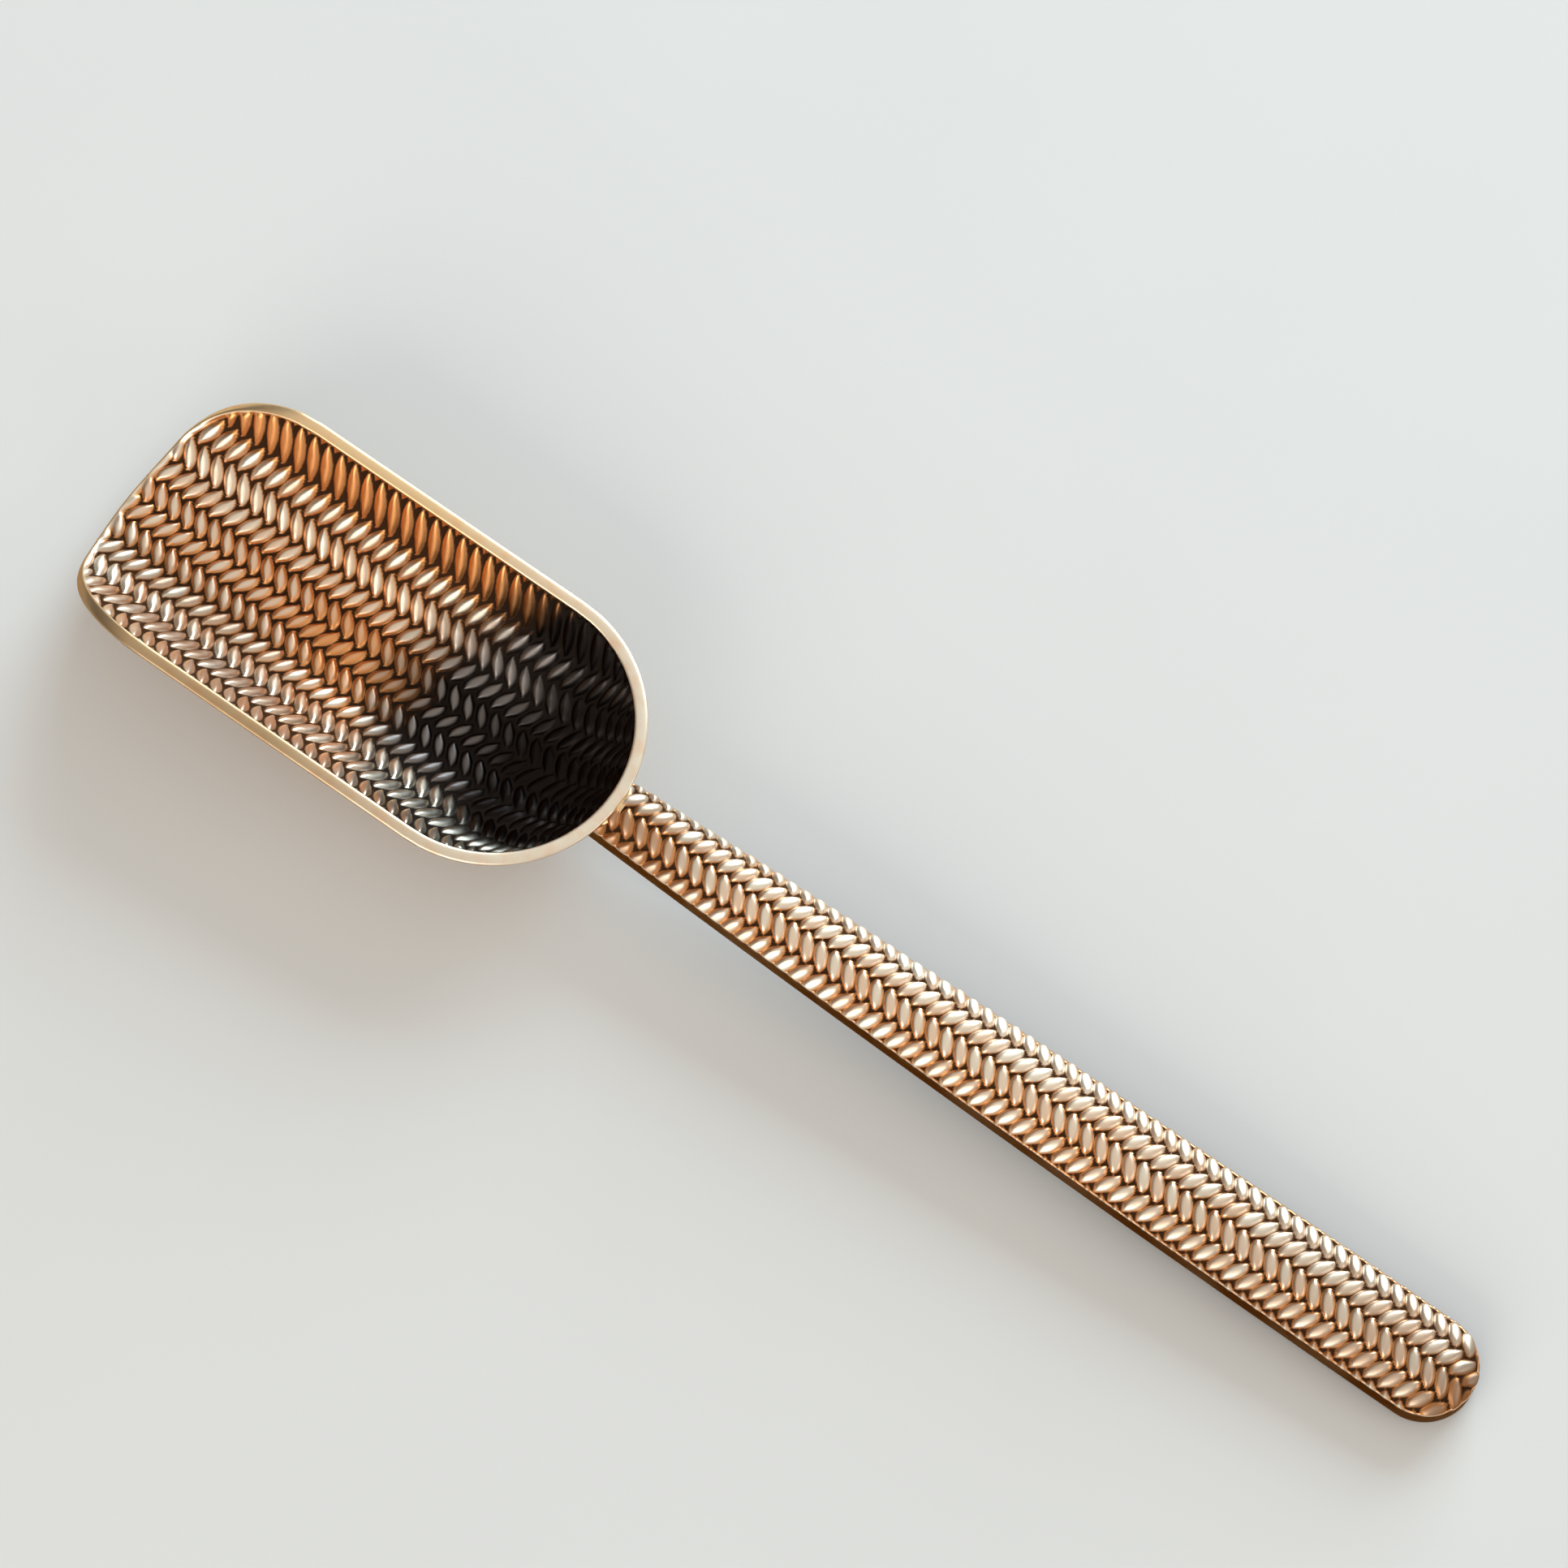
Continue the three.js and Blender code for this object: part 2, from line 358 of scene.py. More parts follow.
def placement():
    """From the straight spoon, rim level and joint at zero, to the spoon as it lies on the table."""
    bowl, handle = settings().bowl, settings().handle
    outer_depth = bowl.depth + bowl.sheet
    radius = bowl.width / 2
    end = Vector((handle.length - handle.lower_round, -(handle.drop + handle.crown + handle.side)))
    shares = np.linspace(0.0, 1.0, STAND_SAMPLES)
    heights = -outer_depth * (1.0 - shares**bowl.power)
    slopes = (end.y - heights) / (end.x - (shares - 1.0) * radius)
    tilt = math.atan(slopes.max())
    lift = end.x * math.sin(tilt) - end.y * math.cos(tilt) - handle.worn
    return Matrix.Translation((BOWL_HIGH.x, 0.0, lift)) @ Matrix.Rotation(tilt, 4, "Y")


# Curves and sections


def ramp(values, start, end):
    """0 at start and before it, 1 at end and beyond it, and even between them."""
    return np.clip((values - start) / (end - start), 0.0, 1.0)


def curve_lengths(places, heights):
    """Length over a curve, from its first point to each of its points."""
    steps = np.hypot(np.diff(places), np.diff(heights))
    return np.concatenate(((0.0,), np.cumsum(steps)))


def round_normals(slopes, along, across):
    """Upward normals of a surface that falls by slopes away from a middle, along and across."""
    away = np.maximum(np.hypot(along, across), TINY)
    normals = np.stack((slopes * along / away, slopes * across / away, np.ones_like(slopes)), -1)
    return normals / np.linalg.norm(normals, axis=1)[:, None]


def section_height(share, depth, edge, power):
    """Height of the bowl's section below the rim, at a share of its half width."""
    return -edge - (depth - edge) * (1.0 - np.abs(share) ** power)


# Lattices: surfaces whose lines follow the slant of the grains


def herringbone_shift(across):
    """How far a point lies along its grain, from -0.5 to 0.5, turning back at each row."""
    row = np.floor(across + 0.5)
    return (1.0 - 2.0 * np.mod(row, 2.0)) * (across - row)


def lattice(starts, ends, step, shift):
    """Points along lines from starts to ends, every step, moved by shift(place, line).

    Returns each point's line and place, and the faces between the lines. Points past the end of a
    line, or nearly at it, are drawn to it and merged.
    """
    lines = len(starts)
    spare = 5
    near = 0.35 * step
    first = (math.floor(starts.min() / step) - spare) * step
    count = int(math.ceil((ends.max() - first) / step)) + spare + 1
    places = first + step * np.arange(count)
    grid = places[:, None] + shift(places[:, None], np.arange(lines)[None, :])
    grid = np.where(grid < starts + near, starts, grid)
    grid = np.where(grid > ends - near, ends, grid)
    fresh = np.ones(grid.shape, bool)
    fresh[1:] = grid[1:] != grid[:-1]
    numbers = np.zeros(grid.shape, int)
    numbers[fresh] = np.arange(fresh.sum())
    numbers = np.maximum.accumulate(numbers, 0)
    line_of = np.broadcast_to(np.arange(lines), grid.shape)[fresh]
    corners = (numbers[:-1, :-1], numbers[1:, :-1], numbers[1:, 1:], numbers[:-1, 1:])
    faces = []
    for corner in np.stack(corners, -1).reshape(-1, 4).tolist():
        face = tuple(dict.fromkeys(corner))
        if len(face) > 2:
            faces.append(face)
    return line_of, grid[fresh], faces


def edge_loop(faces):
    """The open edge of a surface, as its corners in the direction of its faces."""
    edges = {edge for face in faces for edge in zip(face, face[1:] + face[:1])}
    following = {a: b for a, b in edges if (b, a) not in edges}
    start = min(following)
    loop = [start]
    while following[loop[-1]] != start:
        loop.append(following[loop[-1]])
    if len(loop) != len(following):
        raise RuntimeError("the edge of the surface isn't one loop")
    return np.array(loop)


def skin_faces(rings):
    """Faces between rings of points that wrap round a solid, from its top to its underside."""
    faces = []
    for upper, lower in zip(rings, rings[1:]):
        corners = np.stack((np.roll(upper, -1), upper, lower, np.roll(lower, -1)), -1)
        faces += [tuple(corner) for corner in corners.tolist()]
    return faces


class Shell:
    """Collects the points of a closed solid with their attributes, and its faces."""

    def __init__(self):
        self.points = []
        self.attributes = {}
        self.faces = []
        self.count = 0

    def add(self, points, **attributes):
        """Adds points and returns their numbers. An attribute is a number or one for each point."""
        points = np.asarray(points, float).reshape(-1, 3)
        self.points.append(points)
        attributes.setdefault("up", (0.0, 0.0, 1.0))
        for name in ("along", "across", "strength", "slim", "polish", "film", "patina_and_shade", "wear"):
            attributes.setdefault(name, -1.0 if name == "patina_and_shade" else 0.0)
        for name, value in attributes.items():
            shape = (len(points), 3) if name == "up" else (len(points),)
            self.attributes.setdefault(name, []).append(np.broadcast_to(value, shape))
        self.count += len(points)
        return np.arange(self.count - len(points), self.count)

    def close(self, faces, rings, offset):
        """Adds the faces of the top, the edge and the underside, whose numbers begin at offset."""
        self.faces += faces
        self.faces += skin_faces(rings)
        self.faces += [tuple(corner + offset for corner in reversed(face)) for face in faces]

    def mesh(self, name):
        made = bpy.data.meshes.new(name)
        made.from_pydata(np.concatenate(self.points).tolist(), [], self.faces)
        for key, parts in self.attributes.items():
            values = np.concatenate(parts).astype(np.float32)
            if key == "up":
                attribute = made.attributes.new(key, "FLOAT_VECTOR", "POINT")
                attribute.data.foreach_set("vector", values.ravel())
            else:
                attribute = made.attributes.new(key, "FLOAT", "POINT")
                attribute.data.foreach_set("value", values)
        made.update()
        return made


# The relief


def grain(graph, sizes, slim, along, place, odd, number):
    """Height of the grains of one row, from 0 to 1, and a random number for each grain.

    slim is the share by which they are slimmer than the rest, place is the distance from the middle
    of the row, in rows, and odd is 1 for the rows that slant the other way and lie half a pitch on.
    """
    ids_per_row = 1000.0
    lean = 1.0 - 2.0 * odd
    position = along - lean * sizes["Slant"] * place + odd * 0.5
    column = position.floor()
    chance = graph.value(
        "FunctionNodeRandomValue",
        "Value",
        {"data_type": "FLOAT"},
        {"Min": 0.0, "Max": 1.0, "ID": column + number * ids_per_row, "Seed": sizes["Seed"]},
    )
    end = abs(place) / (sizes["Overlap"] + 0.5)
    half_width = (sizes["Fullness"] * (1.0 - end**WIDTH_POWER)).math("SMOOTH_MIN", WIDEST, BLEND)
    inside = (half_width * (1.0 - slim) - abs(position - column - 0.5)) * 2.0
    height = 1.0 - (1.0 - inside.most(0.0).least(1.0)) ** HEIGHT_POWER
    return height * (1.0 - chance * sizes["Variation"]), chance


def relief_tree():
    """Node tree that raises the grains of a herringbone along the lines of a lattice."""
    tree = bpy.data.node_groups.new("herringbone_relief", "GeometryNodeTree")
    interface = tree.interface
    interface.new_socket(name="Geometry", in_out="INPUT", socket_type="NodeSocketGeometry")
    for name in ("Height", "Slant", "Overlap", "Fullness", "Variation"):
        interface.new_socket(name=name, in_out="INPUT", socket_type="NodeSocketFloat")
    interface.new_socket(name="Seed", in_out="INPUT", socket_type="NodeSocketInt")
    interface.new_socket(name="Material", in_out="INPUT", socket_type="NodeSocketMaterial")
    interface.new_socket(name="Geometry", in_out="OUTPUT", socket_type="NodeSocketGeometry")
    graph = Graph(tree)
    given = graph.node("NodeGroupInput")
    sizes = {socket.name: Value(graph, socket) for socket in given.outputs if socket.name}

    def attribute(name, data_type="FLOAT"):
        return graph.value(
            "GeometryNodeInputNamedAttribute", "Attribute", {"data_type": data_type}, {"Name": name}
        )

    along, across, strength, slim = (
        attribute(name) for name in ("along", "across", "strength", "slim")
    )
    number = (across + 0.5).floor()
    place = across - number
    odd = number - (number * 0.5).floor() * 2.0
    own, own_chance = grain(graph, sizes, slim, along, place, odd, number)
    side = place.math("GREATER_THAN", 0.0) * 2.0 - 1.0
    beside, beside_chance = grain(
        graph, sizes, slim, along, place - side, 1.0 - odd, number + side
    )
    nearer = (beside - own).step(-BLEND / 2, BLEND / 2)
    height = own.math("SMOOTH_MAX", beside, BLEND)
    chance = own_chance + (beside_chance - own_chance) * nearer
    move = graph.node(
        "ShaderNodeVectorMath",
        {"operation": "SCALE"},
        {0: attribute("up", "FLOAT_VECTOR"), "Scale": (height - 0.5) * strength * sizes["Height"]},
    )
    geometry = graph.node(
        "GeometryNodeSetPosition", None, {"Geometry": sizes["Geometry"], "Offset": move.outputs[0]}
    ).outputs[0]
    flat = 1.0 - strength.least(1.0)
    for name, value in (("relief", height * (1.0 - flat) + flat), ("chance", chance)):
        geometry = graph.node(
            "GeometryNodeStoreNamedAttribute",
            {"data_type": "FLOAT", "domain": "POINT"},
            {"Geometry": geometry, "Name": name, "Value": value},
        ).outputs[0]
    geometry = graph.node("GeometryNodeRealizeInstances", None, {"Geometry": geometry}).outputs[0]
    geometry = graph.node(
        "GeometryNodeSetMaterial", None, {"Geometry": geometry, "Material": sizes["Material"]}
    ).outputs[0]
    graph.node("NodeGroupOutput", None, {"Geometry": geometry})
    return tree


def raise_relief(mesh, material, fullness):
    """The mesh with its grains raised, as a new plain mesh."""
    tree = bpy.data.node_groups.get("herringbone_relief") or relief_tree()
    relief = settings().relief
    values = {"Fullness": fullness, "Material": material}
    for name in ("Height", "Slant", "Overlap", "Variation", "Seed"):
        values[name] = getattr(relief, name.lower())
    blank = new_object(mesh.name + "_blank", mesh)
    modifier = blank.modifiers.new("relief", "NODES")
    modifier.node_group = tree
    for item in tree.interface.items_tree:
        if item.in_out == "INPUT" and item.name in values:
            modifier[item.identifier] = values[item.name]
    graph = bpy.context.evaluated_depsgraph_get()
    raised = bpy.data.meshes.new_from_object(
        blank.evaluated_get(graph), preserve_all_data_layers=True, depsgraph=graph
    )
    bpy.data.objects.remove(blank)
    bpy.data.meshes.remove(mesh)
    return raised


def finish_piece(name, mesh, node):
    """Lays a straight piece on the table, flat where it would sink in, and hands it to the frame."""
    mesh.name = name
    mesh.transform(placement())
    points = np.empty(len(mesh.vertices) * 3, np.float32)
    mesh.vertices.foreach_get("co", points)
    points[2::3] = np.maximum(points[2::3], 0.0)
    mesh.vertices.foreach_set("co", points)
    mesh.shade_smooth()
    mesh.update()
    piece = new_object(name, mesh)
    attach(piece, "root")
    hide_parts(node)


# The bowl


def row_lines(bowl, relief, half_width):
    """Places across the bowl of the lines of its lattice, and how many rows each is from the middle.

    The rows are even in plan, but the outermost one is even over the steep wall.
    """
    row = relief.bowl_row
    inner_rows = math.floor(half_width / row - 0.5) - 0.5
    even = np.linspace(0.0, inner_rows, int(round(inner_rows * LINES_PER_ROW)) + 1)
    shares = np.linspace(0.0, 1.0, SECTION_SAMPLES)
    heights = section_height(shares, bowl.depth, bowl.edge_round, bowl.power)
    lengths = curve_lengths(shares * half_width, heights)
    up_wall = np.arange(1, LINES_UP_WALL + 1) / LINES_UP_WALL
    across = np.concatenate((even, inner_rows + (1.0 + relief.overlap) * up_wall))
    halves = []
    for offset in (relief.bowl_offset, -relief.bowl_offset):
        inner = even * row + offset
        start = np.interp(inner[-1] / half_width, shares, lengths)
        outer = np.interp(start + (lengths[-1] - start) * up_wall, lengths, shares) * half_width
        halves.append(np.concatenate((inner, outer)))
    near, far = halves
    return np.concatenate((-near[:0:-1], far)), np.concatenate((-across[:0:-1], across))


def back_lengths(bowl, width, end, half_width):
    """Places along a line, from the centre of the bowl's round back, and the lengths to them."""
    centre = -bowl.width / 2
    places = centre + (end - centre) * np.linspace(0.0, 1.0, BACK_SAMPLES)
    share = np.minimum(np.hypot(places - centre, width) / half_width, 1.0)
    heights = section_height(share, bowl.depth, bowl.edge_round, bowl.power)
    return places, centre + curve_lengths(places, heights)


def lip_positions(bowl, shares, half_width):
    """Where the lip lies along the spoon, at shares of the half width."""
    fine = np.linspace(0.0, 1.0, SECTION_SAMPLES)
    lengths = curve_lengths(fine * half_width, section_height(fine, bowl.depth, 0.0, bowl.power))
    left = np.interp(np.abs(shares), fine, lengths[-1] - lengths)
    below = np.maximum(bowl.lip_corner - left, 0.0)
    corner = bowl.lip_corner - np.sqrt(bowl.lip_corner**2 - below**2)
    return -bowl.length + bowl.lip_bow * shares**2 + corner


def bowl_surface(bowl, places, widths, half_width, depth):
    """Points and upward normals of a surface of the bowl, from plan places and signed widths."""
    centre = -bowl.width / 2
    back = np.maximum(places - centre, 0.0)
    radius = np.hypot(back, widths)
    share = np.minimum(radius / half_width, 1.0)
    heights = section_height(share, depth, bowl.edge_round, bowl.power)
    slope = (depth - bowl.edge_round) * bowl.power * share ** (bowl.power - 1.0) / half_width
    return np.stack((places, widths, heights), -1), round_normals(-slope, back, widths)


def edge_directions(points, partners):
    """For each pair of points along the edge of a sheet, the direction that the edge faces."""
    smoothings = 4
    forward = np.roll(points, -1, 0) - np.roll(points, 1, 0)
    facing = np.cross(partners - points, forward)
    for _ in range(smoothings):
        facing = (np.roll(facing, 1, 0) + facing * 2.0 + np.roll(facing, -1, 0)) / 4.0
    return facing / np.linalg.norm(facing, axis=1)[:, None]


def bowl_finish(bowl, across, places, heights):
    """Attributes of the bowl's inside: slimmer outer grains, a dark back of patina and painted shadow, and
    painted light and shade by row, carried as wear and film.
    """
    outer_slimness = 0.12
    height_share = 0.9
    fringe_middle = 0.5
    fringe_loss = 0.8
    fringe_strength = 0.2
    # Shade: distance from where the back wall's shadow would fall, which lies further back higher up the
    # wall; the dark back painted from it is patina and painted shadow
    shade = (places - height_share * (heights + bowl.depth) + bowl.dark_back_start) / bowl.dark_back_fade
    patina_and_shade = np.clip(shade, -1.0, 3.0)
    # A band of fewer pale tops, so deeper copper, just before the dark back: the edge of its patina and
    # painted shadow, weaker away from the middle rows
    fringe = np.minimum(ramp(shade, *FRINGE_RISE), ramp(shade, *FRINGE_FALL))
    fringe *= 1.0 - fringe_loss * ramp(np.abs(across - fringe_middle), *FRINGE_ROWS)
    # Wear and film by row are painted light and shade; the film fades out in the dark back
    return {
        "slim": outer_slimness * ramp(np.abs(across), *OUTER_ROWS),
        "patina_and_shade": patina_and_shade,
        "wear": np.interp(across, *BOWL_PAINTED_LIGHT) - fringe_strength * fringe,
        "film": np.interp(across, *BOWL_PAINTED_SHADE) * np.clip(-patina_and_shade, 0.0, 1.0),
    }


def rim_rings(shell, bowl, inner, outer):
    """Points of the polished edge, in rings from the inside of the bowl to its outside."""
    squareness = 2 / 3
    near_rim_shade = 0.48
    facing = edge_directions(inner, outer)
    rings = []
    for k in range(1, RIM_STEPS):
        turn = math.pi * k / RIM_STEPS
        reach = math.copysign(abs(math.cos(turn)) ** squareness, math.cos(turn))
        rise = math.sin(turn) ** squareness
        ring = inner + (outer - inner) * (1.0 - reach) / 2.0
        ring = ring + facing * bowl.edge_round * rise
        # The rim is paler towards the back and browner on the near side at the front: painted highlight and
        # painted shade
        paler = ramp(ring[:, 0], *RIM_PALER)
        film = near_rim_shade * ramp(ring[:, 1], *RIM_NEAR) * (1.0 - paler)
        rings.append(shell.add(ring, polish=1.0, wear=paler, film=film))
    return rings


def make_bowl():
    outside_film = 0.35
    bowl, relief = settings().bowl, settings().relief
    outer_half = bowl.width / 2
    inner_half = outer_half - bowl.land
    centre = -outer_half
    widths, across = row_lines(bowl, relief, inner_half)
    starts = lip_positions(bowl, widths / inner_half, inner_half) + bowl.edge_round
    ends = centre + np.sqrt(np.maximum(inner_half**2 - widths**2, 0.0))
    backs = [back_lengths(bowl, width, end, inner_half) for width, end in zip(widths, ends)]
    lean = relief.slant * relief.pitch

    line_of, lengths, faces = lattice(
        starts,
        np.array([back[-1] for _, back in backs]),
        relief.pitch / STEPS_PER_GRAIN,
        lambda place, line: lean * herringbone_shift(across[line]),
    )
    places = lengths.copy()
    for line, (back_places, back) in enumerate(backs):
        here = (line_of == line) & (lengths > centre)
        places[here] = np.interp(lengths[here], back, back_places)
    plan = widths[line_of]
    inside, up = bowl_surface(bowl, places, plan, inner_half, bowl.depth)
    from_lip = places - starts[line_of]
    from_rim = inner_half - np.hypot(np.maximum(places - centre, 0.0), plan)
    fade = np.minimum(ramp(from_lip, 0.0, LIP_FADE), ramp(from_rim, 0.0, RIM_FADE))
    pattern = {"along": lengths / relief.pitch, "across": across[line_of]}
    finish = bowl_finish(bowl, across[line_of], places, inside[:, 2])

    grown = outer_half / inner_half
    outer_places = np.where(places > centre, centre + (places - centre) * grown, places)
    outside, outer_up = bowl_surface(
        bowl, outer_places, plan * grown, outer_half, bowl.depth + bowl.sheet
    )

    shell = Shell()
    upper = shell.add(inside, up=up, strength=fade, **finish, **pattern)
    loop = edge_loop(faces)
    rings = [upper[loop], *rim_rings(shell, bowl, inside[loop], outside[loop])]
    lower = shell.add(
        outside, up=outer_up, strength=fade * relief.reverse, film=outside_film, **pattern
    )
    rings.append(lower[loop])
    shell.close(faces, rings, int(lower[0]))
    material = copper_material("bowl_copper")
    mesh = raise_relief(shell.mesh("scoop_bowl_skin"), material, relief.bowl_fullness)
    finish_piece("scoop_bowl_skin", mesh, "scoop_bowl")


# The handle


def handle_half_width(handle, places):
    """Half the width of the handle's outline."""
    centre = handle.length - handle.tip_width / 2
    remaining = np.clip(1.0 - places / centre, 0.0, None)
    return (handle.tip_width + (handle.root_width - handle.tip_width) * remaining**2) / 2


def wall_position(bowl, widths, heights, sink):
    """Where the outside of the bowl's back wall stands, at widths and heights."""
    outer_depth = bowl.depth + bowl.sheet
    share = np.clip((outer_depth + heights) / (outer_depth - bowl.edge_round), 0.0, 1.0)
    radius = bowl.width / 2 * share ** (1.0 / bowl.power)
    return -bowl.width / 2 + np.sqrt(np.maximum(radius**2 - widths**2, 0.0)) - sink


def make_handle():
    root_shade_tint, tip_shade_tint, end_shade_tint = 0.5, 0.3, 0.45
    root_copper_shade, end_copper_shade = 0.35, 0.5
    spread = 0.96
    bowl, handle, relief = settings().bowl, settings().handle, settings().relief
    tip_radius = handle.tip_width / 2
    centre = handle.length - tip_radius
    top_edge = -(handle.drop + handle.crown)
    bottom = top_edge - handle.side
    edge_angle = math.atan(handle.crown * handle.crown_power / tip_radius)
    inset = handle.upper_round * (1.0 - math.sin(edge_angle))
    top_drop = 0.15 * MM
    crown = handle.crown - top_drop
    sink = 0.05 * MM

    turns = np.linspace(-0.5, 0.5, LINES_OVER_CROWN) * math.pi * spread
    shares = np.sin(turns) / math.sin(spread / 2 * math.pi)
    fine = np.linspace(0.0, 1.0, CROWN_SAMPLES)

    def top_half(places):
        return handle_half_width(handle, places) - inset

    def developed(share, half):
        """Length over the crown from its middle, at a share of the half width."""
        lengths = curve_lengths(fine, crown * fine**handle.crown_power / tip_radius)
        return np.sign(share) * np.interp(np.abs(share), fine, lengths) * half

    def across_at(places, share):
        return (developed(share, top_half(places)) - relief.handle_offset) / relief.handle_row - 0.5

    root_half = top_half(0.0)
    root_heights = -handle.drop - crown * np.abs(shares) ** handle.crown_power
    starts = wall_position(bowl, shares * root_half, root_heights, sink)
    ends = centre + (tip_radius - inset) * np.sqrt(np.maximum(1.0 - shares**2, 0.0))
    lean = relief.slant * relief.pitch
    line_of, places, faces = lattice(
        starts,
        ends,
        relief.pitch / STEPS_PER_GRAIN,
        lambda place, line: lean * herringbone_shift(across_at(place, shares[line])),
    )
    share = shares[line_of]
    half = top_half(places)
    plan = share * half
    past = np.maximum(places - centre, 0.0)
    ratio = np.minimum(np.hypot(past, plan) / half, 1.0)
    top_points = np.stack((places, plan, -handle.drop - crown * ratio**handle.crown_power), -1)
    slope = crown * handle.crown_power * ratio ** (handle.crown_power - 1.0) / half
    up = round_normals(slope, past, plan)
    strength = ramp(places - starts[line_of], 0.0, ROOT_FADE)
    pattern = {"along": places / relief.pitch, "across": across_at(places, share)}

    def swollen(points, growth, height, at_root):
        """Outline points moved outwards by growth, at another height."""
        reach = points[:, 0] - centre
        wide = handle_half_width(handle, points[:, 0]) - inset
        factor = (wide + growth) / wide
        moved = points.copy()
        moved[:, 0] = np.where(reach > 0.0, centre + reach * factor, points[:, 0])
        moved[:, 1] = points[:, 1] * factor
        moved[:, 2] = height
        against = wall_position(bowl, moved[:, 1], moved[:, 2], sink)
        moved[:, 0] = np.where(at_root, against, moved[:, 0])
        return moved

    shell = Shell()
    near_root = ramp(places, *ROOT_REACH)
    near_half = ramp(pattern["across"], *NEAR_ROWS)
    # Painted light and shade on the handle: brown tint and deeper copper at the root, which lies in the
    # bowl's shade, and towards the round tip; paler tops on the far rows, where the light falls
    film = root_shade_tint * near_root + tip_shade_tint * ramp(places, *TIP_REACH) + end_shade_tint * past / tip_radius
    wear = np.interp(pattern["across"], *HANDLE_PAINTED_LIGHT)
    wear -= root_copper_shade * near_root * near_half + end_copper_shade * past / tip_radius
    top = shell.add(top_points, up=up, strength=strength, film=film, wear=wear, **pattern)
    loop = edge_loop(faces)
    rim = top_points[loop]
    at_root = places[loop] == starts[line_of[loop]]
    outward = np.stack((np.maximum(rim[:, 0] - centre, 0.0), rim[:, 1], np.zeros(len(rim))), -1)
    outward /= np.maximum(np.linalg.norm(outward, axis=1)[:, None], TINY)
    edge_pattern = {name: values[loop] for name, values in pattern.items()}
    rings = [top[loop]]
    for k in range(1, EDGE_STEPS + 1):
        turn = edge_angle + (math.pi / 2 - edge_angle) * k / EDGE_STEPS
        growth = handle.upper_round * (math.sin(turn) - math.sin(edge_angle))
        fall = handle.upper_round * (math.cos(edge_angle) - math.cos(turn))
        rounded = swollen(rim, growth, -(handle.drop + crown) - fall, at_root)
        left = 1.0 - k / EDGE_STEPS
        facing = outward * math.sin(turn) + np.array((0.0, 0.0, math.cos(turn)))
        faded = strength[loop] * left
        rings.append(
            shell.add(rounded, up=facing, strength=faded, film=(1.0 - left) ** 2, **edge_pattern)
        )
    levels = []
    side_top = -(handle.drop + crown) - handle.upper_round * math.cos(edge_angle)
    side_bottom = bottom + handle.lower_round
    for k in range(1, SIDE_STEPS + 1):
        levels.append((inset, side_top + (side_bottom - side_top) * k / SIDE_STEPS))
    for k in range(1, EDGE_STEPS + 1):
        turn = math.pi / 2 * k / EDGE_STEPS
        growth = inset - handle.lower_round * (1.0 - math.cos(turn))
        levels.append((growth, bottom + handle.lower_round * (1.0 - math.sin(turn))))
    # The sides and the underside are fully brown: film and painted shade
    for growth, height in levels[:-1]:
        rings.append(shell.add(swollen(rim, growth, height, at_root), film=1.0))
    underside = swollen(top_points, levels[-1][0], bottom, places == starts[line_of])
    lower = shell.add(underside, film=1.0)
    rings.append(lower[loop])
    shell.close(faces, rings, int(lower[0]))
    material = copper_material("handle_copper")
    mesh = raise_relief(shell.mesh("handle_skin"), material, relief.handle_fullness)
    finish_piece("handle_skin", mesh, "handle")


# The braze


def braze_path(handle, half):
    """Points round the section of the handle's root, as (y, z, y outwards, z outwards, size)."""
    top = -(handle.drop + handle.crown)
    bottom = top - handle.side
    corner = handle.lower_round
    thin = 0.6
    swelling = 1.9
    top_reach = 0.94
    top_points, side_points, corner_points, under_points = 10, 7, 7, 6
    path = []
    for share in np.linspace(0.0, top_reach, top_points):
        slope = handle.crown * handle.crown_power * share ** (handle.crown_power - 1.0) / half
        outwards = Vector((slope, 1.0)).normalized()
        height = -handle.drop - handle.crown * share**handle.crown_power
        path.append((share * half, height, *outwards, thin))
    heights = np.linspace(top - corner / 2, bottom + corner, side_points)
    for height, size in zip(heights, np.linspace(thin, swelling, side_points)):
        path.append((half, height, 1.0, 0.0, min(size, 1.0)))
    for turn in np.linspace(0.0, math.pi / 2, corner_points)[1:]:
        out = (math.cos(turn), -math.sin(turn))
        path.append((half - corner + corner * out[0], bottom + corner + corner * out[1], *out, 1.0))
    for width in np.linspace(half - corner, 0.0, under_points)[1:]:
        path.append((width, bottom, 0.0, -1.0, 1.0))
    mirrored = [(-y, z, -out_y, out_z, size) for y, z, out_y, out_z, size in path[-2:0:-1]]
    return path + mirrored


